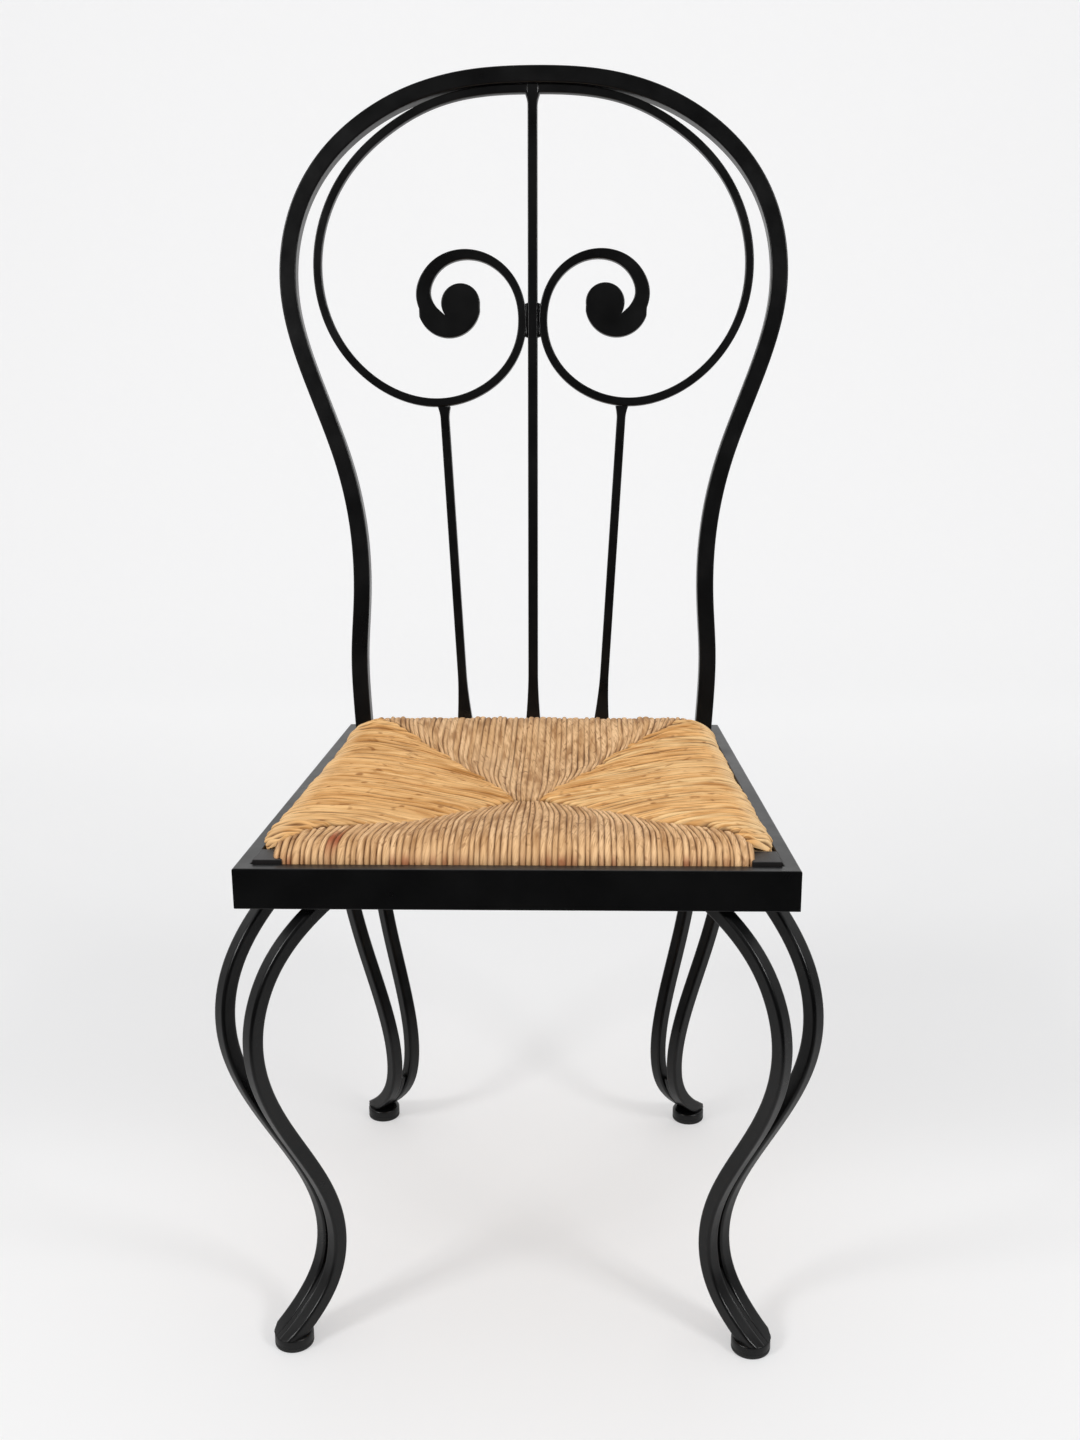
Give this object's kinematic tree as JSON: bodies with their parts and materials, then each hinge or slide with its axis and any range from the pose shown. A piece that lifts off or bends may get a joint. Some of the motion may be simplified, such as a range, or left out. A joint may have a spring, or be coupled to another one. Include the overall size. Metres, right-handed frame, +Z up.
{
  "type": "wrought iron dining chair",
  "caption": "Dining chair with a bowed, scrolled iron back, S-curved iron legs on disc feet and a drop-in woven rush seat.",
  "frame": {"origin": "on the floor, under the middle of the chair's outer box", "axes": "+X to the right as seen from the front, +Y towards the back, +Z up"},
  "size_m": [0.5214, 0.578, 1.1143],
  "materials": {
    "iron": "satin black",
    "glide": "matte",
    "black_wood": "black stained",
    "plain_wood": "plain sawn",
    "rush": "woven twisted rush",
    "stuffing": "loose rush"
  },
  "bodies": {
    "root": {"front_rail": "iron", "rear_rail": "iron", "left_rail": "iron", "right_rail": "iron", "front_left_corner_plate": "iron", "front_right_corner_plate": "iron", "rear_left_corner_plate": "iron", "rear_right_corner_plate": "iron", "front_left_leg_front_bar": "iron", "front_right_leg_front_bar": "iron", "rear_left_leg_rear_bar": "iron", "rear_right_leg_rear_bar": "iron", "front_left_leg_side_bar": "iron", "front_right_leg_side_bar": "iron", "rear_left_leg_side_bar": "iron", "rear_right_leg_side_bar": "iron", "front_left_foot_pad": "iron", "front_right_foot_pad": "iron", "rear_left_foot_pad": "iron", "rear_right_foot_pad": "iron", "front_left_glide": "glide", "front_right_glide": "glide", "rear_left_glide": "glide", "rear_right_glide": "glide", "back_hoop": "iron", "left_scroll": "iron", "right_scroll": "iron", "centre_bar": "iron", "left_spindle": "iron", "right_spindle": "iron", "back_welds": "iron", "wood_front_rail": "plain_wood", "wood_rear_rail": "plain_wood", "wood_left_rail": "plain_wood", "wood_right_rail": "plain_wood", "front_left_corner_block": "black_wood", "front_right_corner_block": "black_wood", "rear_left_corner_block": "black_wood", "rear_right_corner_block": "black_wood", "seat_dowels": "plain_wood", "seat_screws": "iron", "seat_stuffing": "stuffing", "rush_front": "rush", "rush_rear": "rush", "rush_left": "rush", "rush_right": "rush"}
  },
  "joints": []
}
